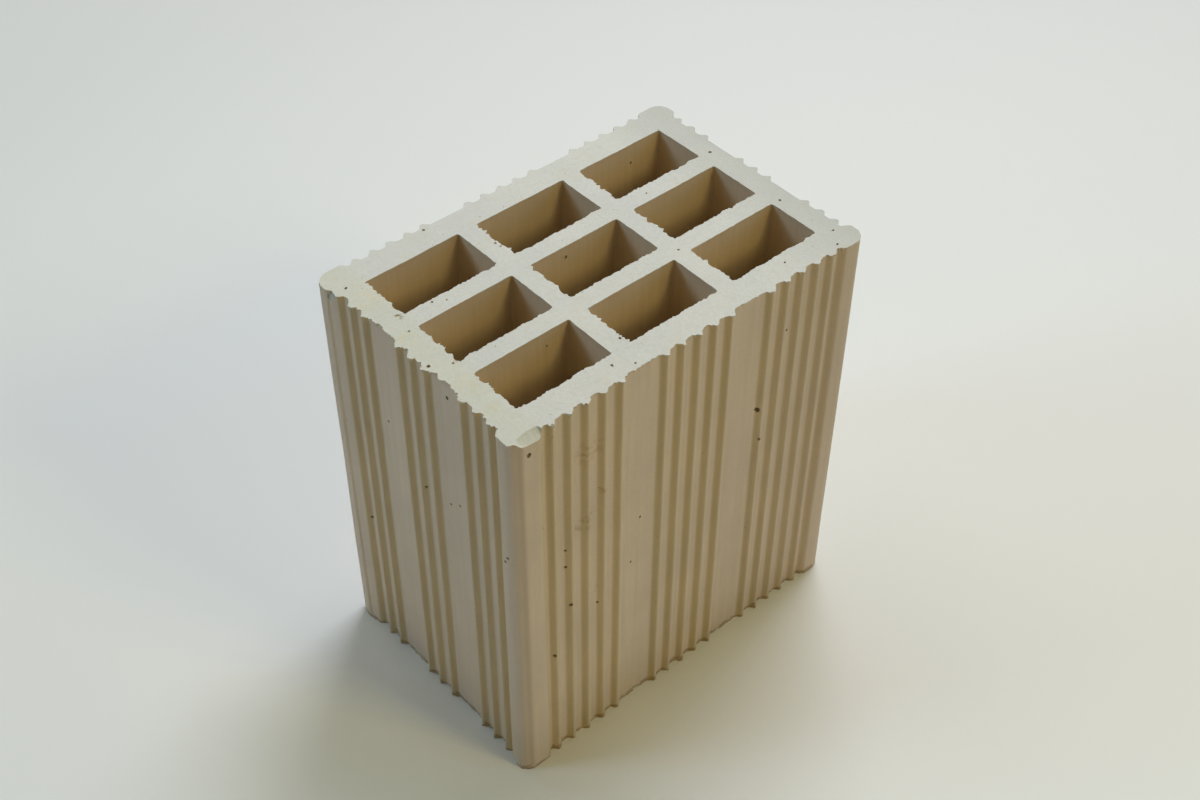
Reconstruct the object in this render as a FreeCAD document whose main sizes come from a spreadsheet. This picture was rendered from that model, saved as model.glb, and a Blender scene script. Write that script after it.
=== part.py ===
import FreeCAD, Part
import math
import os
import Sketcher

# Hollow clay block: one extruded and fired piece with nine through cells, cut square by wire at both ends.
# Frame: origin at the middle of the underside, +Z along the cells, +X along the long sides.
# All four sides are keyed for plaster. Groups of raised ribs stand between plain bands, the bands lie
# over the webs, and a plain post stands proud of the ribs at each corner.

# Driving dimensions in millimetres, angles in degrees, and counts
SIZES = {
    "block_height": 245.0,          # length cut from the extruded column
    "cell_length": 56.0,            # opening of a cell along X
    "cell_width": 30.8,             # opening of a cell along Y
    "cell_corner_radius": 1.2,
    "cells_along": 3,
    "cells_across": 3,
    "cross_web": 10.7,              # wall between neighbour cells along X
    "long_web": 10.9,               # wall between neighbour cells along Y
    "long_side_shell": 14.7,        # outer wall behind the plain bands of the long sides
    "short_side_shell": 13.0,       # outer wall behind the plain bands of the short sides
    "rib_rise": 2.75,               # height of a rib above the plain bands
    "rib_width": 7.6,               # width of a rib where its rounded feet meet the wall
    "rib_tip_radius": 1.5,
    "rib_foot_radius": 1.2,
    "rib_root": 1.0,                # depth of a rib's outline in the wall that it grows from
    "long_rib_pitch": 10.25,
    "long_ribs": 5,                 # ribs in each group of a long side
    "short_rib_pitch": 10.0,
    "short_ribs": 3,                # ribs in each group of a short side
    "long_post_rise": 3.2,          # height of a corner post above the bands of the long side
    "short_post_rise": 4.3,         # height of a corner post above the bands of the short side
    "long_post_flat": 7.0,          # flat of a post between its shoulder and its rounded corner, along X
    "short_post_flat": 2.2,         # the same flat along Y
    "post_flank_run": 4.2,          # run of a post's flank from its toe to its flat
    "post_shoulder_radius": 2.5,
    "post_corner_radius": 7.5,
    "post_gap": 0.5,                # plain strip between a post's toe and the nearest rib's foot
}

# Dimensions that follow from the driving ones
FOLLOWING = {
    "cell_pitch_x": "=cell_length + cross_web",
    "cell_pitch_y": "=cell_width + long_web",
    "band_x": "=(cells_along * cell_length + (cells_along - 1) * cross_web) / 2 + short_side_shell",
    "band_y": "=(cells_across * cell_width + (cells_across - 1) * long_web) / 2 + long_side_shell",
    "last_cell_x": "=(cells_along - 1) * cell_pitch_x / 2",
    "last_cell_y": "=(cells_across - 1) * cell_pitch_y / 2",
    "post_face_x": "=band_x + short_post_rise",
    "post_face_y": "=band_y + long_post_rise",
    "post_toe_x": "=post_face_x - post_corner_radius - long_post_flat - post_flank_run",
    "post_toe_y": "=post_face_y - post_corner_radius - short_post_flat - post_flank_run",
    "last_rib_x": "=post_toe_x - post_gap - rib_width / 2",
    "last_rib_y": "=post_toe_y - post_gap - rib_width / 2",
    "group_pitch_x": "=(2 * last_rib_x - (long_ribs - 1) * long_rib_pitch) / max(cells_along - 1; 1)",
    "group_pitch_y": "=(2 * last_rib_y - (short_ribs - 1) * short_rib_pitch) / max(cells_across - 1; 1)",
}

START, END, CENTRE = range(1, 4)
ORIGIN = (-1, 1)

doc = FreeCAD.newDocument("hollow_clay_block")

# Sheet of sizes
sheet = doc.addObject("Spreadsheet::Sheet", "Sizes")
for row, (alias, value) in enumerate([*SIZES.items(), *FOLLOWING.items()], start=1):
    sheet.set(f"A{row}", alias.replace("_", " "))
    sheet.set(f"B{row}", str(value))
    sheet.setAlias(f"B{row}", alias)
doc.recompute()

body = doc.addObject("PartDesign::Body", "clay_block")
body.Label = "clay_block"


def size(alias):
    """The present value of a cell of the sheet."""
    return float(getattr(sheet, alias))


def origin_feature(role):
    for feature in body.Origin.OriginFeatures:
        if feature.Role == role:
            return feature
    raise LookupError(role)


# Sketch helpers
def new_sketch(name):
    """A sketch on the plane of the block's underside."""
    sketch = body.newObject("Sketcher::SketchObject", name)
    sketch.AttachmentSupport = [(origin_feature("XY_Plane"), "")]
    sketch.MapMode = "FlatFace"
    sketch.Visibility = False
    return sketch


def add_line(sketch, start, end):
    segment = Part.LineSegment(FreeCAD.Vector(*start, 0), FreeCAD.Vector(*end, 0))
    return sketch.addGeometry(segment, False)


def add_arc(sketch, centre, radius, first_angle, last_angle):
    """An arc that runs counter-clockwise from one angle to another, in degrees."""
    circle = Part.Circle(FreeCAD.Vector(*centre, 0), FreeCAD.Vector(0, 0, 1), radius)
    arc = Part.ArcOfCircle(circle, math.radians(first_angle), math.radians(last_angle))
    return sketch.addGeometry(arc, False)


def constrain(sketch, kind, *where):
    return sketch.addConstraint(Sketcher.Constraint(kind, *where))


def bind(sketch, kind, where, value, expression):
    """A dimension of the sketch, tied to the sheet."""
    index = constrain(sketch, kind, *where, value)
    sketch.setExpression(f"Constraints[{index}]", expression)


def flank_slope(run, rise, top_radius, foot_radius=0):
    """Slope of a flank between a rounded foot and a round top whose middles are one run apart."""
    drop = rise - top_radius - foot_radius
    return math.atan2(drop, run) + math.asin((top_radius + foot_radius) / math.hypot(run, drop))


# Feature helpers
def full_height(kind, name, sketch, reversed_direction=False):
    """A pad or a pocket over the whole height of the block."""
    feature = body.newObject(kind, name)
    feature.Profile = sketch
    feature.Type = "Length"
    feature.setExpression("Length", "Sizes.block_height")
    feature.Reversed = reversed_direction
    doc.recompute()
    body.Tip = feature
    return feature


def step_back(name, axis, count, pitch):
    """Copies that step from the positive end of an axis towards its negative end."""
    pattern = body.newObject("PartDesign::LinearPattern", name)
    pattern.Direction = (origin_feature(axis), [""])
    pattern.Mode = "Spacing"
    pattern.Reversed = True
    pattern.setExpression("Occurrences", f"Sizes.{count}")
    pattern.setExpression("Offset", f"Sizes.{pitch}")
    return pattern


def mirror(name, plane):
    image = body.newObject("PartDesign::Mirrored", name)
    image.MirrorPlane = (origin_feature(plane), [""])
    return image


def repeat(name, feature, steps):
    """The feature repeated by every step in turn."""
    multiple = body.newObject("PartDesign::MultiTransform", name)
    multiple.Originals = [feature]
    multiple.Transformations = steps
    doc.recompute()
    body.Tip = multiple
    return multiple


# Core: the block with plain sides, level with the bands
def make_core():
    sketch = new_sketch("core_section")
    x = size("band_x")
    y = size("band_y")
    corners = [(-x, -y), (x, -y), (x, y), (-x, y)]
    lines = [add_line(sketch, corners[k], corners[(k + 1) % 4]) for k in range(4)]
    for k in range(4):
        constrain(sketch, "Coincident", lines[k], END, lines[(k + 1) % 4], START)
        constrain(sketch, "Horizontal" if k % 2 == 0 else "Vertical", lines[k])
    constrain(sketch, "Symmetric", lines[0], START, lines[2], START, *ORIGIN)
    bind(sketch, "DistanceX", (*ORIGIN, lines[1], START), x, "Sizes.band_x")
    bind(sketch, "DistanceY", (*ORIGIN, lines[2], START), y, "Sizes.band_y")
    return full_height("PartDesign::Pad", "core", sketch)


# Corner post: flank, shoulder, face and rounded corner, then the same down the other side
def make_posts():
    sketch = new_sketch("post_section")
    toe_x = size("post_toe_x")
    toe_y = size("post_toe_y")
    band_x = size("band_x")
    band_y = size("band_y")
    face_x = size("post_face_x")
    face_y = size("post_face_y")
    run = size("post_flank_run")
    shoulder = size("post_shoulder_radius")
    corner = size("post_corner_radius")
    long_slope = flank_slope(run, face_y - band_y, shoulder)
    short_slope = flank_slope(run, face_x - band_x, shoulder)
    long_centre = (toe_x + run, face_y - shoulder)
    short_centre = (face_x - shoulder, toe_y + run)
    flank_end = (
        long_centre[0] - shoulder * math.sin(long_slope),
        long_centre[1] + shoulder * math.cos(long_slope),
    )
    other_end = (
        short_centre[0] + shoulder * math.cos(short_slope),
        short_centre[1] - shoulder * math.sin(short_slope),
    )
    long_turn = math.degrees(long_slope)
    short_turn = math.degrees(short_slope)

    flank = add_line(sketch, (toe_x, band_y), flank_end)
    long_shoulder = add_arc(sketch, long_centre, shoulder, 90, 90 + long_turn)
    long_face = add_line(sketch, (long_centre[0], face_y), (face_x - corner, face_y))
    rounding = add_arc(sketch, (face_x - corner, face_y - corner), corner, 0, 90)
    short_face = add_line(sketch, (face_x, face_y - corner), (face_x, short_centre[1]))
    short_shoulder = add_arc(sketch, short_centre, shoulder, -short_turn, 0)
    other_flank = add_line(sketch, other_end, (band_x, toe_y))
    inside = add_line(sketch, (band_x, toe_y), (toe_x, band_y))

    constrain(sketch, "Coincident", inside, END, flank, START)
    constrain(sketch, "Tangent", flank, END, long_shoulder, END)
    constrain(sketch, "Tangent", long_shoulder, START, long_face, START)
    constrain(sketch, "Tangent", long_face, END, rounding, END)
    constrain(sketch, "Tangent", rounding, START, short_face, START)
    constrain(sketch, "Tangent", short_face, END, short_shoulder, END)
    constrain(sketch, "Tangent", short_shoulder, START, other_flank, START)
    constrain(sketch, "Coincident", other_flank, END, inside, START)
    constrain(sketch, "Horizontal", long_face)
    constrain(sketch, "Vertical", short_face)
    constrain(sketch, "Equal", long_shoulder, short_shoulder)
    bind(sketch, "DistanceX", (*ORIGIN, flank, START), toe_x, "Sizes.post_toe_x")
    bind(sketch, "DistanceY", (*ORIGIN, flank, START), band_y, "Sizes.band_y")
    bind(sketch, "DistanceX", (*ORIGIN, inside, START), band_x, "Sizes.band_x")
    bind(sketch, "DistanceY", (*ORIGIN, inside, START), toe_y, "Sizes.post_toe_y")
    bind(sketch, "DistanceY", (*ORIGIN, long_face, START), face_y, "Sizes.post_face_y")
    bind(sketch, "DistanceX", (*ORIGIN, short_face, START), face_x, "Sizes.post_face_x")
    bind(sketch, "Radius", (long_shoulder,), shoulder, "Sizes.post_shoulder_radius")
    bind(sketch, "Radius", (rounding,), corner, "Sizes.post_corner_radius")
    bind(sketch, "DistanceX", (flank, START, long_face, START), run, "Sizes.post_flank_run")
    bind(sketch, "DistanceY", (inside, START, short_face, END), run, "Sizes.post_flank_run")
    post = full_height("PartDesign::Pad", "post", sketch)
    return repeat("posts", post, [mirror("post_left", "YZ_Plane"), mirror("post_front", "XZ_Plane")])


# Ribs: one with rounded feet, straight flanks and a round tip, repeated along its side and mirrored
def make_ribs(side):
    along_x = side == "long"
    run, out = ("x", "y") if along_x else ("y", "x")
    along, outward = ("DistanceX", "DistanceY") if along_x else ("DistanceY", "DistanceX")
    upright = "Vertical" if along_x else "Horizontal"
    middle = size(f"last_rib_{run}")
    band = size(f"band_{out}")
    half_width = size("rib_width") / 2
    rise = size("rib_rise")
    radius = size("rib_tip_radius")
    foot = size("rib_foot_radius")
    root = size("rib_root")
    slope = flank_slope(half_width, rise, radius, foot)
    turn = math.degrees(slope)
    sketch = new_sketch(f"{side}_rib_section")

    def at(run_value, out_value):
        return (run_value, out_value) if along_x else (out_value, run_value)

    def add_bend(centre, bend_radius, first, last):
        """An arc between two angles, from the run of the side towards its outside, and its two ends."""
        if along_x:
            return add_arc(sketch, at(*centre), bend_radius, first, last), START, END
        return add_arc(sketch, at(*centre), bend_radius, 90 - last, 90 - first), END, START

    low_centre = (middle - half_width, band + foot)
    high_centre = (middle + half_width, band + foot)
    tip_centre = (middle, band + rise - radius)
    foot_reach = foot * math.sin(slope)
    foot_drop = foot * math.cos(slope)
    tip_reach = radius * math.sin(slope)
    tip_drop = radius * math.cos(slope)
    low_foot, low_toe, low_start = add_bend(low_centre, foot, -90, turn - 90)
    high_foot, high_start, high_toe = add_bend(high_centre, foot, -90 - turn, -90)
    tip, high_end, low_end = add_bend(tip_centre, radius, 90 - turn, 90 + turn)
    low_flank = add_line(
        sketch,
        at(low_centre[0] + foot_reach, low_centre[1] - foot_drop),
        at(middle - tip_reach, tip_centre[1] + tip_drop),
    )
    high_flank = add_line(
        sketch,
        at(high_centre[0] - foot_reach, high_centre[1] - foot_drop),
        at(middle + tip_reach, tip_centre[1] + tip_drop),
    )
    low_side = add_line(sketch, at(low_centre[0], band), at(low_centre[0], band - root))
    high_side = add_line(sketch, at(high_centre[0], band), at(high_centre[0], band - root))
    bottom = add_line(sketch, at(low_centre[0], band - root), at(high_centre[0], band - root))

    constrain(sketch, "Tangent", low_flank, START, low_foot, low_start)
    constrain(sketch, "Tangent", low_flank, END, tip, low_end)
    constrain(sketch, "Tangent", high_flank, START, high_foot, high_start)
    constrain(sketch, "Tangent", high_flank, END, tip, high_end)
    constrain(sketch, "Coincident", low_foot, low_toe, low_side, START)
    constrain(sketch, "Coincident", high_foot, high_toe, high_side, START)
    constrain(sketch, "Coincident", low_side, END, bottom, START)
    constrain(sketch, "Coincident", high_side, END, bottom, END)
    constrain(sketch, upright, low_foot, low_toe, low_foot, CENTRE)
    constrain(sketch, upright, high_foot, high_toe, high_foot, CENTRE)
    constrain(sketch, upright, low_side)
    constrain(sketch, upright, high_side)
    constrain(sketch, "Equal", low_foot, high_foot)
    bind(sketch, "Radius", (tip,), radius, "Sizes.rib_tip_radius")
    bind(sketch, "Radius", (low_foot,), foot, "Sizes.rib_foot_radius")
    bind(sketch, along, (*ORIGIN, tip, CENTRE), middle, f"Sizes.last_rib_{run}")
    bind(sketch, along, (low_foot, CENTRE, tip, CENTRE), half_width, "Sizes.rib_width / 2")
    bind(sketch, along, (tip, CENTRE, high_foot, CENTRE), half_width, "Sizes.rib_width / 2")
    bind(sketch, outward, (*ORIGIN, low_foot, low_toe), band, f"Sizes.band_{out}")
    bind(sketch, outward, (*ORIGIN, high_foot, high_toe), band, f"Sizes.band_{out}")
    tip_height = "Sizes.rib_rise - Sizes.rib_tip_radius"
    bind(sketch, outward, (low_side, START, tip, CENTRE), rise - radius, tip_height)
    bind(sketch, outward, (low_side, END, low_side, START), root, "Sizes.rib_root")
    bind(sketch, outward, (high_side, END, high_side, START), root, "Sizes.rib_root")

    rib = full_height("PartDesign::Pad", f"{side}_rib", sketch)
    cells = "cells_along" if along_x else "cells_across"
    steps = [
        step_back(f"{side}_rib_group", f"{run.upper()}_Axis", f"{side}_ribs", f"{side}_rib_pitch"),
        step_back(f"{side}_rib_groups", f"{run.upper()}_Axis", cells, f"group_pitch_{run}"),
        mirror(f"{side}_ribs_opposite", "XZ_Plane" if along_x else "YZ_Plane"),
    ]
    return repeat(f"{side}_side_ribs", rib, steps)


# Cells: one rounded rectangle, cut through and repeated in both directions
def make_cells():
    sketch = new_sketch("cell_section")
    middle_x = size("last_cell_x")
    middle_y = size("last_cell_y")
    half_x = size("cell_length") / 2
    half_y = size("cell_width") / 2
    radius = size("cell_corner_radius")
    flat_x = half_x - radius
    flat_y = half_y - radius

    def at(x, y):
        return (middle_x + x, middle_y + y)

    near = add_line(sketch, at(-flat_x, -half_y), at(flat_x, -half_y))
    right = add_line(sketch, at(half_x, -flat_y), at(half_x, flat_y))
    far = add_line(sketch, at(flat_x, half_y), at(-flat_x, half_y))
    left = add_line(sketch, at(-half_x, flat_y), at(-half_x, -flat_y))
    walls = [near, right, far, left]
    centres = [at(flat_x, -flat_y), at(flat_x, flat_y), at(-flat_x, flat_y), at(-flat_x, -flat_y)]
    corners = [add_arc(sketch, centres[k], radius, 90 * k - 90, 90 * k) for k in range(4)]
    for k in range(4):
        constrain(sketch, "Tangent", walls[k], END, corners[k], START)
        constrain(sketch, "Tangent", corners[k], END, walls[(k + 1) % 4], START)
        constrain(sketch, "Horizontal" if k % 2 == 0 else "Vertical", walls[k])
    for k in range(1, 4):
        constrain(sketch, "Equal", corners[0], corners[k])
    bind(sketch, "Radius", (corners[0],), radius, "Sizes.cell_corner_radius")
    bind(sketch, "DistanceX", (left, START, right, START), 2 * half_x, "Sizes.cell_length")
    bind(sketch, "DistanceY", (near, START, far, START), 2 * half_y, "Sizes.cell_width")
    right_wall = "Sizes.last_cell_x + Sizes.cell_length / 2"
    far_wall = "Sizes.last_cell_y + Sizes.cell_width / 2"
    bind(sketch, "DistanceX", (*ORIGIN, right, START), middle_x + half_x, right_wall)
    bind(sketch, "DistanceY", (*ORIGIN, far, START), middle_y + half_y, far_wall)
    cell = full_height("PartDesign::Pocket", "cell", sketch, reversed_direction=True)
    steps = [
        step_back("cells_along_x", "X_Axis", "cells_along", "cell_pitch_x"),
        step_back("cells_along_y", "Y_Axis", "cells_across", "cell_pitch_y"),
    ]
    return repeat("cells", cell, steps)


# The block, built in the order that its section is read
make_core()
make_posts()
make_ribs("long")
solid_block = make_ribs("short").Shape.Volume
make_cells()
doc.recompute()

# Every object is sound, and the cells took out what nine openings hold
for item in doc.Objects:
    faults = [state for state in item.State if state in ("Invalid", "Error")]
    if faults:
        raise RuntimeError(f"{item.Name} is {faults}")
shape = body.Shape
if shape.isNull() or not shape.isValid() or len(shape.Solids) != 1:
    raise RuntimeError("the block is not one sound solid")
corner_loss = (4 - math.pi) * size("cell_corner_radius") ** 2
opening = size("cell_length") * size("cell_width") - corner_loss
expected = opening * size("block_height") * size("cells_along") * size("cells_across")
if abs(solid_block - shape.Volume - expected) > 1e-6 * expected:
    raise RuntimeError("the cells are not cut through")

box = shape.BoundBox
print("block", round(box.XLength, 2), round(box.YLength, 2), round(box.ZLength, 2))
print("litres of clay", round(shape.Volume / 1e6, 3), "faces", len(shape.Faces))
os.makedirs("parts", exist_ok=True)
shape.exportStep(f"parts/{body.Label}.step")
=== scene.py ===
import math
import random

import bmesh
import bpy
import numpy as np
from mathutils import Euler, Matrix, Vector, geometry, noise


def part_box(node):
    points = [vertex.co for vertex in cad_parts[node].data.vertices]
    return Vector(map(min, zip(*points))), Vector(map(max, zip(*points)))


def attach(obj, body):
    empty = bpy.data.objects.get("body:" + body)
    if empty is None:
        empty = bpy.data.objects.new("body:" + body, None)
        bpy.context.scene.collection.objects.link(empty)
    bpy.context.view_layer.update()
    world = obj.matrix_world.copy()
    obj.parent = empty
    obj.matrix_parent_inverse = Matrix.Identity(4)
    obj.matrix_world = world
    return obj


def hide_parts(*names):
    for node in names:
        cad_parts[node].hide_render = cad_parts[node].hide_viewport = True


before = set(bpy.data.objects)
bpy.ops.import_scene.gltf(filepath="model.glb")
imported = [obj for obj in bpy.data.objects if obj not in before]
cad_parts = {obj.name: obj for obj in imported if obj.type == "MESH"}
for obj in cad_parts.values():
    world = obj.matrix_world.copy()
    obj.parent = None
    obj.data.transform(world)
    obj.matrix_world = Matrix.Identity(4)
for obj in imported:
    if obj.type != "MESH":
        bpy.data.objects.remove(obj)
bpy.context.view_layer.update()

# Sizes are in millimetres, and become metres when a mesh or a light is made.
MM = 0.001
NODE = "clay_block"
LOW, HIGH = (np.array(corner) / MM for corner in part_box(NODE))
TOP = HIGH[2]

# How finely the outline is read, and how far its sharp corners are worn round.
READ_STEP = 0.1
WORN_CORNER = 0.32
FINE_GAP = 0.62
PLAIN_GAP = 1.7
BACK_GAP = 0.95

# The ribs and posts, as the block's own sizes have them, and how the real ones differ on the near sides.
RIB_RISE = 2.75
LONG_POST_RISE, SHORT_POST_RISE = 3.2, 4.3
POST_TOE_X, POST_TOE_Y = 93.3, 61.1
RIB_TRIM = 1.45
POST_FILL_Y = (57.0, 70.0)
LONG_SIDE_SHIFTS = ((-103, 0), (-92, 0.8), (-48, 0.9), (-20, 0.8), (20, 0.8), (45, 0.2), (70, 0.1), (89, 0.3), (93.3, 1.3), (98, 1.3),
    (104, 0))
SHORT_SIDE_SHIFTS = ((-67, 0), (-57, 0.9), (-37, 0.8), (-10, 0.8), (0, 1.6), (10, 1.6), (37, 1.2), (57, 0.9), (67, 0))

# Depths below the cut face where the walls have a row of points.
OUTSIDE_ROWS = (0, 0.3, 0.65, 1.1, 1.7, 2.5, 3.8, 6, 9.5, 15)
OUTSIDE_PLAIN_ROWS = 13
CELL_ROWS = (0, 0.3, 0.65, 1.1, 1.8, 3.0, 6, 12, 30, 65, 110, 170, 225)
END_ROWS = (8, 3, 1.2, 0.4, 0)

# The cut faces: how far they wander below the full height, and the gap between their points.
FACE_WANDER = 0.16
FACE_GRAIN = 0.07
FACE_GAP = 1.55
FACE_MARGIN = 1.0


def read_outlines():
    """The closed outlines of the block's top face, with the clay on their left: the outside, then the cells."""
    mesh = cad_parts[NODE].data
    spot = [(round(v.co.x / MM, 3), round(v.co.y / MM, 3)) for v in mesh.vertices]
    edges = set()
    for face in mesh.polygons:
        if face.normal.z > 0.9 and abs(face.center.z / MM - TOP) < 0.01:
            ring = [spot[i] for i in face.vertices]
            edges.update(zip(ring, ring[1:] + ring[:1]))
    follow = {a: b for a, b in edges if (b, a) not in edges}
    outlines = []
    while follow:
        start = min(follow)
        here = follow.pop(start)
        outline = [start]
        while here != start:
            outline.append(here)
            here = follow.pop(here)
        outlines.append(np.array(outline))
    outlines.sort(key=lambda points: (-np.ptp(points[:, 0]).round(), points[:, 1].mean().round(), points[:, 0].mean()))
    return outlines


def set_ribs(outline):
    """The outside with its ribs as the photograph shows them: a little narrower, and not quite evenly set."""
    moved = outline.copy()
    for axis, toe, rise in ((0, POST_TOE_X, LONG_POST_RISE), (1, POST_TOE_Y, SHORT_POST_RISE)):
        run, out = outline[:, axis], outline[:, 1 - axis]
        band = HIGH[1 - axis] - rise
        height = np.abs(out) - band
        ribs = (np.abs(run) < toe) & (height > 0.01)
        leaner = RIB_RISE * (height[ribs] / RIB_RISE) ** RIB_TRIM
        moved[ribs, 1 - axis] = np.sign(out[ribs]) * (band + leaner)
    left = (outline[:, 0] < 0) & (outline[:, 1] > POST_FILL_Y[0]) & (outline[:, 1] < POST_FILL_Y[1])
    full = np.interp(outline[left, 1], POST_FILL_Y, (HIGH[0] - SHORT_POST_RISE + RIB_RISE, HIGH[0]))
    moved[left, 0] = np.minimum(moved[left, 0], -full)
    near = outline[:, 1] < LOW[1] + LONG_POST_RISE + 0.1
    moved[near, 0] += np.interp(outline[near, 0], *zip(*LONG_SIDE_SHIFTS))
    near = outline[:, 0] < LOW[0] + SHORT_POST_RISE + 0.1
    moved[near, 1] += np.interp(outline[near, 1], *zip(*SHORT_SIDE_SHIFTS))
    return moved


def soften(values, reach):
    """A closed run of points, each averaged with those within a short reach."""
    steps = int(3 * reach / READ_STEP)
    weights = [math.exp(-0.5 * (k * READ_STEP / reach) ** 2) for k in range(-steps, steps + 1)]
    total = sum(w * np.roll(values, k, axis=0) for k, w in zip(range(-steps, steps + 1), weights))
    return total / sum(weights)


def off_wall(points, reach=1):
    """The direction away from the clay at each point of a closed outline."""
    along = np.roll(points, -reach, axis=0) - np.roll(points, reach, axis=0)
    along /= np.linalg.norm(along, axis=1)[:, None]
    return np.c_[along[:, 1], -along[:, 0]]


def tornness(normals, is_cell):
    """How torn the cut edge is, from 0 to 1: the wire left the clay on the sides that these point to."""
    toward = normals if is_cell else -normals
    first, second = np.clip(toward[:, 0], 0, 1), np.clip(toward[:, 1], 0, 1)
    return np.clip(0.12 + first ** 2 * 0.88 + second ** 2 * (0.42 if is_cell else 0.5), 0, 1)


def resample(outline, is_cell):
    """An outline with its points close together where it bends or is torn, and further apart elsewhere."""
    closed = np.vstack([outline, outline[:1]])
    run = np.r_[0, np.cumsum(np.linalg.norm(np.diff(closed, axis=0), axis=1))]
    along = np.arange(0, run[-1], READ_STEP)
    fine = np.c_[np.interp(along, run, closed[:, 0]), np.interp(along, run, closed[:, 1])]
    fine = soften(fine, WORN_CORNER)
    normals = off_wall(fine, 4)
    bend = np.linalg.norm(np.roll(normals, 8, axis=0) - np.roll(normals, -8, axis=0), axis=1)
    gap = np.where(tornness(normals, is_cell) > 0.3, FINE_GAP, PLAIN_GAP if is_cell else BACK_GAP)
    gap = np.where(bend > 0.25, FINE_GAP, gap)
    share = np.cumsum(READ_STEP / gap)
    picks = np.searchsorted(share, np.arange(int(share[-1])) * share[-1] / int(share[-1]))
    return fine[picks], normals[picks]


def rough(x, y, size, seed):
    """Smooth random values about -1 to 1 that change over a given size."""
    return 1.6 * noise.noise(Vector((x / size, y / size, seed)))


def torn_edge(point, seed):
    """How far a torn edge stands out from its wall, in millimetres, where it is as torn as can be."""
    x, y = point
    teeth = rough(x, y, 1.9, seed)
    teeth = math.copysign(abs(teeth) ** 0.7, teeth) * 0.55
    bays = rough(x, y, 5.0, seed + 9) * 0.95
    splinters = 1.5 * max(0, rough(x, y, 1.3, seed + 5) - 0.15)
    return 0.05 + teeth + bays + splinters


def face_height(x, y, seed):
    """How far the cut face lies below the full height at a point, as a height that is never above zero."""
    wander = 0.5 * (1 + rough(x, y, 34, seed)) * FACE_WANDER
    grain = 0.5 * (1 + rough(x, y, 3.4, seed + 3)) * FACE_GRAIN
    return -max(0, wander) - max(0, grain)


class Block:
    """The block's mesh as it grows: points in millimetres, faces, and the material of each face."""

    def __init__(self):
        self.points = []
        self.faces = []
        self.kinds = []

    def add_points(self, rows):
        start = len(self.points)
        self.points.extend(rows)
        return start

    def add_face(self, face, kind):
        self.faces.append(face)
        self.kinds.append(kind)


SKIN, CELL, CUT, BROKEN, SHADED_PIT = range(5)


def lip(depth, reach):
    """The share of a torn edge that is left at a depth below the cut face."""
    return max(0, 1 - depth / reach) ** 0.8


def add_wall(block, points, normals, is_cell, seed):
    """One closed wall from the top face to the bottom one. Returns its first and last ring of point numbers."""
    torn = tornness(normals, is_cell)
    edge = [t * torn_edge(p, seed) for p, t in zip(points, torn)]
    foot = [0.5 * t * torn_edge(p, seed + 40) for p, t in zip(points, torn)]
    heights = [face_height(x, y, 3.0) for x, y in points]
    if is_cell:
        depths = list(CELL_ROWS)
    else:
        last = OUTSIDE_ROWS[-1]
        step = (TOP - last - END_ROWS[0]) / OUTSIDE_PLAIN_ROWS
        depths = list(OUTSIDE_ROWS) + [last + step * k for k in range(1, OUTSIDE_PLAIN_ROWS)]
    depths += [TOP - up for up in END_ROWS]
    rings = []
    for depth in depths:
        ring = []
        for (x, y), (nx, ny), out, low, height in zip(points, normals, edge, foot, heights):
            up = TOP - depth
            sway = 0.16 * rough(x + 0.3 * up, y, 60, seed + up / 75) + 0.05 * rough(x, y, 9, seed + up / 18)
            move = sway + out * lip(depth, 1.9) + low * lip(up, 1.4)
            if not is_cell:
                move = min(move, 2.0)
            px, py = x + nx * move, y + ny * move
            if not is_cell:
                px = min(max(px, LOW[0]), HIGH[0])
                py = min(max(py, LOW[1]), HIGH[1])
            ring.append((px, py, up + height * max(0, 1 - depth / 10) - height * max(0, 1 - up / 10)))
        start = block.add_points(ring)
        rings.append(range(start, start + len(ring)))
    for above, below in zip(rings, rings[1:]):
        for i in range(len(above)):
            j = (i + 1) % len(above)
            block.add_face((above[i], below[i], below[j], above[j]), CELL if is_cell else SKIN)
    return rings[0], rings[-1]


def inside_clay(spots, outlines):
    """Which spots lie in the clay of the section: those with an odd number of walls on one side."""
    odd = np.zeros(len(spots), bool)
    for outline in outlines:
        ends = np.roll(outline, -1, axis=0)
        for (x0, y0), (x1, y1) in zip(outline, ends):
            if y0 != y1:
                across = (spots[:, 1] > min(y0, y1)) & (spots[:, 1] <= max(y0, y1))
                odd ^= across & (spots[:, 0] < x0 + (spots[:, 1] - y0) * (x1 - x0) / (y1 - y0))
    return odd


def face_spots(outlines, gap):
    """Points spread over the clay of a cut face, clear of its walls."""
    draw = random.Random(11)
    rows = np.arange(LOW[1], HIGH[1], gap * 0.87)
    spots = [(x + gap * (k % 2) / 2 + draw.uniform(-0.3, 0.3) * gap, y + draw.uniform(-0.3, 0.3) * gap)
             for k, y in enumerate(rows) for x in np.arange(LOW[0], HIGH[0], gap)]
    spots = np.array(spots)
    spots = spots[inside_clay(spots, outlines)]
    walls = np.vstack(outlines)
    clear = np.ones(len(spots), bool)
    for part in np.array_split(np.arange(len(spots)), 40):
        far = spots[part][:, None, :] - walls[None, :, :]
        clear[part] = (far ** 2).sum(axis=2).min(axis=1) > FACE_MARGIN ** 2
    return spots[clear]


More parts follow.
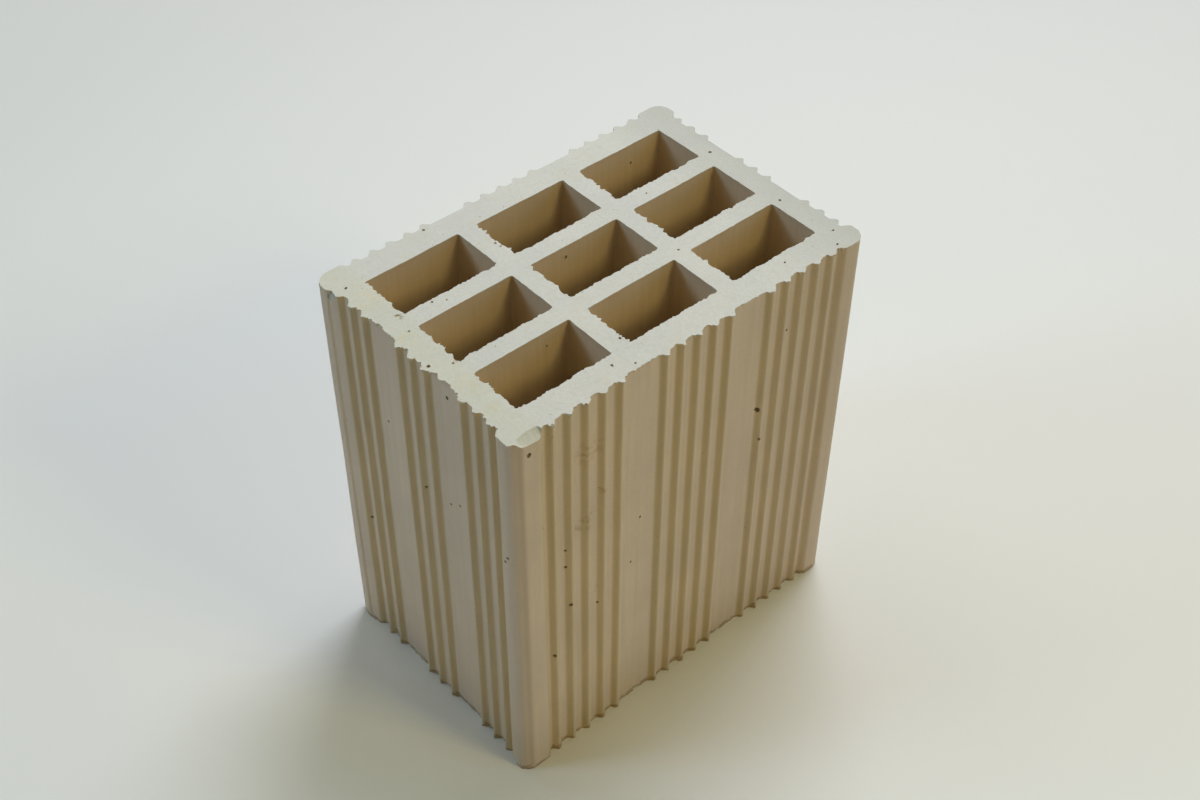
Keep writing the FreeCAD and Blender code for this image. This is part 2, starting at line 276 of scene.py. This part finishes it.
def add_cut_face(block, rings, upward, gap):
    """The flat clay between the walls, as triangles that keep every wall's edge."""
    numbers = [list(ring) for ring in rings]
    outlines = [np.array([block.points[i][:2] for i in ring]) for ring in numbers]
    spots = face_spots(outlines, gap)
    base = TOP if upward else 0
    turn = 1 if upward else -1
    seed = 3.0 if upward else 8.0
    start = block.add_points([(x, y, base + turn * face_height(x, y, seed)) for x, y in spots])
    order = [i for ring in numbers for i in ring] + list(range(start, start + len(spots)))
    flat = [Vector(block.points[i][:2]) for i in order]
    edges, first = [], 0
    for ring in numbers:
        edges += [(first + k, first + (k + 1) % len(ring)) for k in range(len(ring))]
        first += len(ring)
    triangles = geometry.delaunay_2d_cdt(flat, edges, [], 0, 1e-6)[2]
    middles = np.array([np.mean([flat[i] for i in t], axis=0) for t in triangles])
    for triangle, kept in zip(triangles, inside_clay(middles, outlines)):
        if kept:
            a, b, c = (order[i] for i in triangle)
            block.add_face((a, b, c) if upward else (a, c, b), CUT)


def make_mesh(name, points, faces, kinds, materials):
    """A Blender object from points in millimetres."""
    mesh = bpy.data.meshes.new(name)
    mesh.from_pydata([tuple(c * MM for c in p) for p in points], [], faces)
    for material in materials:
        mesh.materials.append(material)
    mesh.polygons.foreach_set("material_index", kinds)
    mesh.validate()
    obj = bpy.data.objects.new(name, mesh)
    bpy.context.scene.collection.objects.link(obj)
    return obj


def lump(place, size, seed, detail=2, bumps=0.3, turn=(0, 0, 0), boxy=1.0):
    """The points and faces of one irregular lump, which leaves a pit or a break where it is cut away.
    Below 1, boxy squares it off."""
    ball = bmesh.new()
    bmesh.ops.create_icosphere(ball, subdivisions=detail, radius=1)
    spin = Euler(turn).to_matrix()
    points = []
    for v in ball.verts:
        push = 1 + bumps * noise.noise(v.co * 1.3 + Vector((seed, 0, 0))) + 0.5 * bumps * noise.noise(v.co * 3.1 + Vector((0, seed, 0)))
        local = Vector(math.copysign(abs(c) ** boxy, c) * s * push for c, s in zip(v.co, size))
        points.append(tuple(spin @ local + Vector(place)))
    faces = [[v.index for v in f.verts] for f in ball.faces]
    ball.free()
    return points, faces


def outside_spot(outline, side, along, height):
    """The point of the outside wall on a side ("long" or "short"), at a place along it and a height."""
    axis = 0 if side == "long" else 1
    normals = off_wall(outline, 2)
    facing = normals[:, 1 - axis] < -0.3
    near = outline[facing]
    pick = near[np.argmin(np.abs(near[:, axis] - along))]
    return (pick[0], pick[1], height)


# Open pores and small pits in the near faces, as in the photograph: a place, then the pit's radius.
CUT_FACE_PITS = (
    (-107.0, -9.5, 1.2), (-79.2, 24.6, 0.9), (-97.4, -15.1, 0.8), (-99.5, 15.3, 0.8), (-0.3, 10.2, 0.7),
    (-29.5, 39.5, 0.9), (-29.0, 36.0, 0.7), (-35.1, -68.8, 0.8), (-29.3, -51.7, 1.0), (102.4, -61.1, 0.9),
    (66.7, -63.0, 0.8), (-44.1, -62.9, 0.9), (-49.8, 70.4, 1.0), (-103.9, 59.2, 1.0), (99.8, -27.1, 1.0),
    (101.4, 25.2, 1.2), (96.0, -70.0, 0.9), (53.0, 21.0, 0.7), (34.5, -22.5, 0.8), (-73.0, 21.5, 0.6),
)
LONG_SIDE_PITS = (
    (-102.7, 235.6, 1.3), (-95.0, 181.5, 0.8), (-80.8, 153.5, 0.8), (-80.8, 141.5, 0.9), (-79.0, 113.0, 1.1),
    (-89.5, 81.0, 1.1), (-60.0, 98.5, 0.8), (69.5, 232.5, 1.1), (63.0, 209.5, 0.8), (45.9, 166.0, 1.5),
    (47.7, 145.0, 0.9), (22.5, 119.0, 0.8), (-32.0, 141.6, 0.8), (-38.0, 112.0, 0.7), (92.0, 130.0, 0.8),
)
SHORT_SIDE_PITS = (
    (-23.5, 235.6, 1.0), (-68.0, 168.0, 0.8), (28.8, 181.6, 0.7), (-27.0, 166.6, 0.7), (-19.6, 161.8, 0.7),
    (55.1, 90.3, 0.9), (-52.2, 223.3, 0.6), (-1.0, 159.4, 0.8), (-66.2, 164.1, 0.8), (15.0, 70.0, 0.7),
)
CELL_WALL_PITS = ((-5.0, 15.4, 238.0, 1.0), (-52.0, -26.3, 236.0, 0.7), (75.0, 57.1, 233.0, 0.8))
# Breaks at the edges: where, how large along each axis, and how each is turned.
BREAKS = (
    ((-90.5, -76.4, 245.6), (2.6, 3.0, 4.0), (0.2, 0.1, 0.0)),
    ((-86.5, -75.6, 241.5), (1.6, 1.9, 2.6), (0.2, 0.0, 0.2)),
    ((-113.2, 60.5, 243.0), (2.4, 3.6, 6.5), (0.0, 0.2, 0.1)),
    ((-112.0, 55.5, 233.0), (2.0, 2.2, 3.2), (0.3, 0.2, 0.1)),
    ((-112.2, 36.5, 246.0), (2.4, 4.5, 3.0), (0.0, 0.1, 0.2)),
    ((-112.4, -19.0, 246.2), (3.2, 6.5, 2.6), (0.0, 0.1, 0.2)),
    ((-112.6, -41.0, 246.2), (2.6, 3.4, 2.6), (0.1, 0.0, -0.2)),
    ((-112.4, -64.0, 0.6), (2.0, 5.0, 4.0), (0.1, 0.0, 0.3)),
    ((-113.0, 71.0, 158.0), (1.8, 3.0, 6.0), (0.0, 0.0, 0.0)),
    ((-30.0, -74.2, -0.4), (9.0, 3.0, 2.2), (0.1, 0.1, 0.1)),
    ((30.0, -74.4, -0.4), (7.0, 3.0, 1.8), (0.1, 0.0, 0.1)),
    ((-97.0, 26.3, 245.8), (2.0, 3.4, 1.7), (0.0, 0.0, 0.6)),
    ((-93.5, -14.5, 246.0), (3.6, 2.4, 2.0), (0.0, 0.0, 0.5)),
    ((113.0, 38.0, 246.0), (2.4, 5.0, 2.4), (0.0, 0.0, 0.2)),
    ((20.0, 76.0, 246.0), (5.0, 2.4, 2.2), (0.0, 0.0, 0.1)),
)


# The flat flake that is off the front corner.
FLAKE = ((-101.0, -73.2, 245.7), (7.4, 7.4, 2.4), (0.588, 0.0, 0.16))


def cutters(outside):
    """Every pit and break as one mesh to cut away: its points, its faces and their materials."""
    pits, breaks = [], []
    for k, (x, y, radius) in enumerate(CUT_FACE_PITS):
        pits.append(lump((x, y, TOP - 0.1), (0.85 * radius, 0.7 * radius, radius), k, turn=(0, 0, k)))
    for side, spots in (("long", LONG_SIDE_PITS), ("short", SHORT_SIDE_PITS)):
        for k, (along, height, radius) in enumerate(spots):
            place = outside_spot(outside, side, along, height)
            pits.append(lump(place, (radius, radius, radius * 1.15), 30 + k, turn=(k, 0, 0)))
    for k, (x, y, height, radius) in enumerate(CELL_WALL_PITS):
        pits.append(lump((x, y, height), (radius, radius, radius), 110 + k))
    for k, (place, size, turn) in enumerate(BREAKS):
        breaks.append(lump(place, size, 70 + 3 * k, detail=5, bumps=0.55, turn=turn))
    place, size, turn = FLAKE
    flake = lump(place, size, 5, detail=5, bumps=0.12, turn=turn, boxy=0.72)
    points, faces, kinds = [], [], []
    # The pits take a material painted dark as the shade inside them.
    for lumps, kind in ((pits, SHADED_PIT), (breaks, BROKEN), ([flake], CUT)):
        for some, rings in lumps:
            faces += [[i + len(points) for i in ring] for ring in rings]
            kinds += [kind] * len(rings)
            points += some
    return points, faces, kinds


class Nodes:
    """A material's node tree, with short ways to add and join nodes."""

    def __init__(self, name):
        self.material = bpy.data.materials.new(name)
        self.material.use_nodes = True
        self.tree = self.material.node_tree
        self.shader = self.tree.nodes["Principled BSDF"]

    def add(self, kind, settings=(), **inputs):
        node = self.tree.nodes.new("ShaderNode" + kind)
        for key, value in dict(settings).items():
            setattr(node, key, value)
        for key, value in inputs.items():
            self.put(node.inputs[int(key[1:])] if key[0] == "i" and key[1:].isdigit() else node.inputs[key], value)
        return node

    def put(self, socket, value):
        if isinstance(value, bpy.types.NodeSocket):
            self.tree.links.new(value, socket)
        else:
            socket.default_value = value

    def place(self, stretch=(1, 1, 1)):
        """The object's own coordinates, in millimetres, squeezed along some axes."""
        coords = self.add("TexCoord").outputs["Object"]
        scale = tuple(1000 * s for s in stretch)
        return self.add("Mapping", Vector=coords, Scale=scale).outputs[0]

    def noise(self, size, detail=3.0, stretch=(1, 1, 1), roughness=0.55):
        """Noise whose blobs are about the given size in millimetres."""
        node = self.add("TexNoise", Vector=self.place(stretch), Scale=1 / size, Detail=detail, Roughness=roughness)
        return node.outputs["Fac"]

    def ramp(self, value, low, high, start=0.0, end=1.0):
        """A value taken from one range to another, held at both ends."""
        node = self.add("MapRange", {"clamp": True}, Value=value)
        for key, number in zip(("From Min", "From Max", "To Min", "To Max"), (low, high, start, end)):
            node.inputs[key].default_value = number
        return node.outputs[0]

    def sum(self, kind, a, b):
        return self.add("Math", {"operation": kind}, i0=a, i1=b).outputs[0]

    def blend(self, factor, a, b, kind="MIX"):
        node = self.add("Mix", {"data_type": "RGBA", "blend_type": kind})
        self.put(node.inputs[0], factor)
        self.put(node.inputs[6], a)
        self.put(node.inputs[7], b)
        return node.outputs[2]

    def specks(self, size, radius, share):
        """Round dots about size apart, where share of the places have one: 1 in a dot and 0 outside it."""
        cells = self.add("TexVoronoi", Vector=self.place(), Scale=1 / size, Randomness=1.0)
        dot = self.ramp(cells.outputs["Distance"], radius / size, 0.6 * radius / size)
        pick = self.add("SeparateColor", Color=cells.outputs["Color"]).outputs[0]
        return self.sum("MULTIPLY", dot, self.sum("LESS_THAN", pick, share))

    def away_from(self, place, stretch=(1, 1, 1)):
        """The distance from a place, in millimetres. An axis that is squeezed to 0 doesn't count."""
        here = self.place(stretch)
        return self.add("VectorMath", {"operation": "DISTANCE"}, i0=here, i1=place).outputs["Value"]

    def spot(self):
        """The place on the block as three numbers, in millimetres."""
        return self.add("SeparateXYZ", Vector=self.place()).outputs

    def slant(self):
        """How far an upright face turns away from the block's sides: 0 along a side and 1 halfway between two."""
        parts = self.add("SeparateXYZ", Vector=self.add("TexCoord").outputs["Normal"]).outputs
        across = self.sum("ABSOLUTE", self.sum("MULTIPLY", parts[0], parts[1]), 0.0)
        x, y = (self.sum("ABSOLUTE", part, 0.0) for part in self.spot()[:2])
        return self.sum("MULTIPLY", self.ramp(across, 0.2, 0.5), self.ramp(self.sum("ADD", x, y), 180, 177))

    def bump(self, height, depth, under=None):
        """A bump of the given depth in millimetres, on top of another."""
        node = self.add("Bump", Height=height, Distance=depth * MM, Strength=1.0)
        if under is not None:
            self.put(node.inputs["Normal"], under)
        return node.outputs[0]


# Brown smears on the near long side: a place, and how far each reaches.
STAINS = (
    ((-66.0, -73.5, 212.0), 10.0), ((-71.0, -73.5, 163.5), 7.0), ((-66.0, -73.5, 167.0), 6.0),
    ((-58.0, -73.5, 181.0), 3.5), ((-86.5, -73.5, 238.0), 5.0), ((-62.0, -73.5, 110.0), 4.0),
)
# Warm patches on the cut face, near its front corner and its left shell.
BLUSHES = (
    ((-101.0, -30.0, 245.0), 9.0), ((-103.0, -50.0, 245.0), 6.0), ((-104.0, 12.0, 245.0), 7.0),
    ((-101.0, 45.0, 245.0), 10.0),
)
CUT_LEFT_TINT = (0.97, 0.98, 0.9, 1)
CUT_RIGHT_TINT = (0.79, 0.8, 0.8, 1)
CUT_PALE = (0.63, 0.62, 0.57, 1)
# A painted shade line, upright beside the front corner where the rounded corner faces away from the lights: where, how
# wide, how strong and of what colour.
CORNER_SHADE_LINE = ((-107.2, -74.7, 0), 2.2, 0.55, (0.5, 0.4, 0.3, 1))
# Painted shade tint for deep inside the cells.
DEEP_SHADE_TINT = (0.8, 0.77, 0.57, 1)
# Painted shade tint for faces turned between two sides, such as the rib flanks.
FLANK_SHADE_TINT = (0.945, 0.925, 0.72, 1)
# Painted shade tint for the right end.
RIGHT_END_SHADE_TINT = (0.88, 0.87, 0.86, 1)


def rubbed_edge(n):
    """Where a wall is as pale as the cut face: a ragged strip below its upper edge."""
    depth = n.sum("SUBTRACT", TOP, n.add("SeparateXYZ", Vector=n.place()).outputs[2])
    reach = n.ramp(n.noise(3.2, 4), 0.4, 0.75, -0.3, 2.2)
    return n.ramp(n.sum("SUBTRACT", reach, depth), 0.0, 0.25)


def clay_skin(inside):
    """The smooth skin that the die leaves: tan, in faint upright streaks, with pores painted dark as shade and a few
    stains.
    Painted shade darkens the rib flanks, a line by the front corner and the right end; inside the cells painted shade
    makes it darker and yellower further down."""
    n = Nodes("fired_clay_cell" if inside else "fired_clay_skin")
    colour = n.blend(n.ramp(n.noise(38, 4), 0.35, 0.65), (0.67, 0.54, 0.427, 1), (0.74, 0.59, 0.46, 1))
    streaks = n.noise(2.6, 3, (1, 1, 0.03))
    colour = n.blend(n.ramp(streaks, 0.35, 0.7, 0, 0.5), colour, (0.61, 0.485, 0.36, 1))
    grain = n.noise(0.9, 2)
    colour = n.blend(n.ramp(grain, 0.3, 0.75, 0, 0.35), colour, (0.82, 0.675, 0.545, 1))
    smear = n.ramp(n.noise(3.4, 5), 0.44, 0.66)
    for place, reach in STAINS:
        near = n.ramp(n.away_from(place), reach, 0.2 * reach)
        colour = n.blend(n.sum("MULTIPLY", n.sum("MULTIPLY", near, smear), 0.75), colour, (0.46, 0.25, 0.11, 1))
    # Painted shade: a darker upright line beside the front corner.
    place, width, strength, tint = CORNER_SHADE_LINE
    near = n.ramp(n.away_from(place, (1, 1, 0)), width, 0.2 * width)
    colour = n.blend(n.sum("MULTIPLY", near, strength), colour, tint)
    along, _, height = n.spot()
    foot = n.ramp(n.sum("SUBTRACT", height, n.ramp(n.noise(5, 4), 0.35, 0.7, 0.0, 4.0)), 1.5, 0.0, 0.0, 0.6)
    colour = n.blend(foot, colour, (0.33, 0.2, 0.1, 1))
    # Open pores: dented by the bump below, and painted dark as the shade inside them.
    shaded_pores = n.specks(7.5, 0.36, 0.22)
    colour = n.blend(n.sum("MULTIPLY", shaded_pores, 0.75), colour, (0.12, 0.085, 0.055, 1))
    pale = n.specks(5.5, 0.3, 0.2)
    colour = n.blend(n.sum("MULTIPLY", pale, 0.45), colour, (0.72, 0.68, 0.58, 1))
    if inside:
        # Painted shade: inside the cells the walls grow darker and yellower further down, where less light reaches.
        deep_shade = n.ramp(height, TOP - 3, TOP - 34, 0.2, 1.0)
        colour = n.blend(deep_shade, colour, n.blend(1.0, colour, DEEP_SHADE_TINT, "MULTIPLY"))
    else:
        # Painted shade: upright faces turned halfway between two sides, such as the rib flanks, are darkened and
        # yellowed, most on the left half, as they face away from the lights.
        flank_shade = n.sum("MULTIPLY", n.slant(), n.ramp(along, 20, 100, 1.0, 0.45))
        colour = n.blend(flank_shade, colour, n.blend(1.0, colour, FLANK_SHADE_TINT, "MULTIPLY"))
        # Painted shade: the outside skin darkens towards the right end, where less light falls.
        colour = n.blend(n.ramp(along, -40, 110), colour, n.blend(1.0, colour, RIGHT_END_SHADE_TINT, "MULTIPLY"))
    colour = n.blend(rubbed_edge(n), colour, CUT_PALE)
    n.put(n.shader.inputs["Base Color"], colour)
    n.put(n.shader.inputs["Roughness"], n.ramp(grain, 0.3, 0.7, 0.62, 0.78))
    n.shader.inputs["Specular IOR Level"].default_value = 0.35
    relief = n.bump(n.noise(5.5, 3, (1, 1, 0.25)), 0.12)
    relief = n.bump(streaks, 0.07, relief)
    relief = n.bump(grain, 0.035, relief)
    relief = n.bump(n.ramp(shaded_pores, 0, 1, 1, 0), 0.25, relief)
    n.put(n.shader.inputs["Normal"], relief)
    return n.material


def clay_cut():
    """The pale face where the wire cut the wet clay: sandy, faintly dragged, with small open pores painted dark as
    shade.
    """
    n = Nodes("fired_clay_cut")
    colour = n.blend(n.ramp(n.noise(26, 5), 0.35, 0.65), (0.615, 0.615, 0.6, 1), (0.66, 0.65, 0.62, 1))
    blush = n.sum("MULTIPLY", n.ramp(n.noise(14, 4), 0.52, 0.72), 0.22)
    colour = n.blend(blush, colour, (0.64, 0.57, 0.4, 1))
    patches = n.ramp(n.noise(4, 4), 0.35, 0.6, 0, 0.5)
    for place, reach in BLUSHES:
        near = n.ramp(n.away_from(place), reach, 0.2 * reach)
        colour = n.blend(n.sum("MULTIPLY", near, patches), colour, (0.66, 0.57, 0.38, 1))
    along = n.spot()[0]
    colour = n.blend(n.ramp(along, -90, -98), colour, n.blend(1.0, colour, CUT_LEFT_TINT, "MULTIPLY"))
    colour = n.blend(n.ramp(along, 66, 108), colour, n.blend(1.0, colour, CUT_RIGHT_TINT, "MULTIPLY"))
    mottle = n.noise(2.4, 5, roughness=0.7)
    colour = n.blend(n.ramp(mottle, 0.5, 0.75, 0, 0.5), colour, (0.52, 0.5, 0.42, 1))
    drag = n.noise(1.5, 3, (0.35, 1, 1))
    colour = n.blend(n.ramp(drag, 0.4, 0.75, 0, 0.22), colour, (0.52, 0.49, 0.42, 1))
    grain = n.noise(0.8, 2)
    colour = n.blend(n.ramp(grain, 0.3, 0.75, 0, 0.3), colour, (0.76, 0.76, 0.74, 1))
    # Open pores: dented by the bump below, and painted dark as the shade inside them.
    shaded_pores = n.specks(4.5, 0.36, 0.3)
    colour = n.blend(n.sum("MULTIPLY", shaded_pores, 0.65), colour, (0.25, 0.19, 0.12, 1))
    n.put(n.shader.inputs["Base Color"], colour)
    n.shader.inputs["Roughness"].default_value = 0.92
    n.shader.inputs["Specular IOR Level"].default_value = 0.25
    relief = n.bump(n.noise(4.5, 4), 0.3)
    relief = n.bump(mottle, 0.35, relief)
    relief = n.bump(drag, 0.12, relief)
    relief = n.bump(grain, 0.1, relief)
    relief = n.bump(n.ramp(shaded_pores, 0, 1, 1, 0), 0.35, relief)
    n.put(n.shader.inputs["Normal"], relief)
    return n.material


def clay_broken():
    """Broken clay in the chips: warm, coarse and dull."""
    n = Nodes("fired_clay_broken")
    colour = n.blend(n.ramp(n.noise(3.5, 5), 0.35, 0.65), (0.63, 0.615, 0.555, 1), (0.6, 0.575, 0.495, 1))
    n.put(n.shader.inputs["Base Color"], colour)
    n.shader.inputs["Roughness"].default_value = 0.95
    n.shader.inputs["Specular IOR Level"].default_value = 0.2
    relief = n.bump(n.noise(2.2, 5), 0.35)
    n.put(n.shader.inputs["Normal"], n.bump(n.noise(0.7, 3), 0.1, relief))
    return n.material


def clay_shaded_pit():
    """The inside of an open pore or pit, painted dark as the shade in it."""
    n = Nodes("fired_clay_shaded_pit")
    n.put(n.shader.inputs["Base Color"], n.blend(n.noise(1.2, 3), (0.25, 0.18, 0.11, 1), (0.45, 0.36, 0.25, 1)))
    n.shader.inputs["Roughness"].default_value = 0.95
    return n.material


def make_block():
    """The whole block with its torn edges, pits and breaks."""
    block = Block()
    tops, bottoms = [], []
    outside = None
    for k, outline in enumerate(read_outlines()):
        if k == 0:
            outline = set_ribs(outline)
        points, normals = resample(outline, k > 0)
        outside = points if outside is None else outside
        top, bottom = add_wall(block, points, normals, k > 0, 2.0 + 13 * k)
        tops.append(top)
        bottoms.append(bottom)
    add_cut_face(block, tops, True, FACE_GAP)
    add_cut_face(block, bottoms, False, 2.2 * FACE_GAP)
    materials = (clay_skin(False), clay_skin(True), clay_cut(), clay_broken(), clay_shaded_pit())
    body = make_mesh("hollow_block", block.points, block.faces, block.kinds, materials)
    points, faces, kinds = cutters(outside)
    tool = make_mesh("pits_and_breaks", points, faces, kinds, materials)
    change = body.modifiers.new("broken", "BOOLEAN")
    change.operation = "DIFFERENCE"
    change.object = tool
    change.solver = "MANIFOLD"
    ready = body.evaluated_get(bpy.context.evaluated_depsgraph_get())
    mesh = bpy.data.meshes.new_from_object(ready)
    body.modifiers.clear()
    body.data = mesh
    bpy.data.objects.remove(tool)
    mesh.polygons.foreach_set("use_smooth", [True] * len(mesh.polygons))
    mesh.set_sharp_from_angle(angle=math.radians(38))
    print("block:", len(mesh.vertices), "points,", sum(len(p.vertices) - 2 for p in mesh.polygons), "triangles")
    return body


# How far out the floor starts to fade and is gone, in millimetres.
FLOOR_FADE = (650, 1900)


def make_floor():
    """A plain pale floor under the block, which fades into the pale surround further out."""
    size = 4.0
    mesh = bpy.data.meshes.new("floor")
    mesh.from_pydata([(-size, -size, 0), (size, -size, 0), (size, size, 0), (-size, size, 0)], [], [(0, 1, 2, 3)])
    n = Nodes("pale_floor")
    n.shader.inputs["Base Color"].default_value = (0.86, 0.86, 0.86, 1)
    n.shader.inputs["Roughness"].default_value = 0.9
    far = n.ramp(n.add("VectorMath", {"operation": "LENGTH"}, i0=n.place()).outputs["Value"], *FLOOR_FADE)
    fade = n.add("MixShader", i0=far, i1=n.shader.outputs[0], i2=n.add("BsdfTransparent").outputs[0])
    n.put(n.tree.nodes["Material Output"].inputs["Surface"], fade.outputs[0])
    mesh.materials.append(n.material)
    floor = bpy.data.objects.new("floor", mesh)
    bpy.context.scene.collection.objects.link(floor)


def make_surround():
    """A plain pale dome all round, far off. It shows behind the floor and sheds no light on the block."""
    mesh = bpy.data.meshes.new("surround")
    dome = bmesh.new()
    bmesh.ops.create_icosphere(dome, subdivisions=4, radius=9.0)
    dome.to_mesh(mesh)
    dome.free()
    n = Nodes("pale_surround")
    n.shader.inputs["Base Color"].default_value = (0, 0, 0, 1)
    n.shader.inputs["Specular IOR Level"].default_value = 0
    n.shader.inputs["Emission Color"].default_value = (0.78, 0.8, 0.77, 1)
    n.shader.inputs["Emission Strength"].default_value = 1
    mesh.materials.append(n.material)
    surround = bpy.data.objects.new("surround", mesh)
    surround.visible_diffuse = surround.visible_glossy = surround.visible_transmission = False
    surround.visible_shadow = False
    bpy.context.scene.collection.objects.link(surround)


def soft_light(name, azimuth, elevation, distance, size, power, colour):
    """A square soft light that points at the block. Azimuth is counted from +X towards +Y."""
    a, e = math.radians(azimuth), math.radians(elevation)
    middle = Vector((0, 0, 0.16))
    place = middle + distance * Vector((math.cos(a) * math.cos(e), math.sin(a) * math.cos(e), math.sin(e)))
    data = bpy.data.lights.new(name, "AREA")
    data.shape = "SQUARE"
    data.size = size
    data.energy = power
    data.color = colour
    light = bpy.data.objects.new(name, data)
    light.location = place
    light.rotation_euler = (middle - place).to_track_quat("-Z", "Y").to_euler()
    bpy.context.scene.collection.objects.link(light)


def make_lights():
    soft_light("high_key", 25, 60, 1.6, 0.8, 17.2, (0.89, 0.94, 1.0))
    soft_light("back_fill", 100, 60, 1.6, 0.8, 2.8, (0.97, 1.0, 0.97))
    soft_light("overhead", 0, 88, 1.6, 1.2, 1.4, (1.0, 0.8, 0.3))
    soft_light("warm_window", -75, 40, 1.6, 0.36, 5.1, (1.0, 0.83, 0.34))
    soft_light("cool_window", 150, 26, 1.6, 0.45, 5.3, (0.57, 0.8, 0.96))
    soft_light("right_fill", -50, 18, 1.6, 0.8, 3.2, (0.48, 0.76, 1.0))
    world = bpy.data.worlds.new("room")
    world.use_nodes = True
    world.node_tree.nodes["Background"].inputs["Color"].default_value = (1.0, 0.78, 0.2, 1)
    world.node_tree.nodes["Background"].inputs["Strength"].default_value = 0.05
    bpy.context.scene.world = world


def make_camera():
    """The photograph's own view, worked out from its perspective."""
    place = Vector((-0.4203, -0.4819, 0.7704))
    aim = Vector((0.02025, 0.01812, 0.1225))
    roll = math.radians(0.36)
    ahead = (aim - place).normalized()
    level = ahead.cross(Vector((0, 0, 1))).normalized()
    right = Matrix.Rotation(-roll, 3, ahead) @ level
    turn = Matrix((right, right.cross(ahead), -ahead)).transposed()
    data = bpy.data.cameras.new("camera")
    data.lens = 51.3
    data.sensor_width = 36
    camera = bpy.data.objects.new("camera", data)
    camera.matrix_world = Matrix.Translation(place) @ turn.to_4x4()
    bpy.context.scene.collection.objects.link(camera)
    bpy.context.scene.camera = camera


block = make_block()
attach(block, "root")
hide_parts(NODE)
make_floor()
make_surround()
make_lights()
make_camera()
bpy.context.scene.view_settings.view_transform = "Standard"
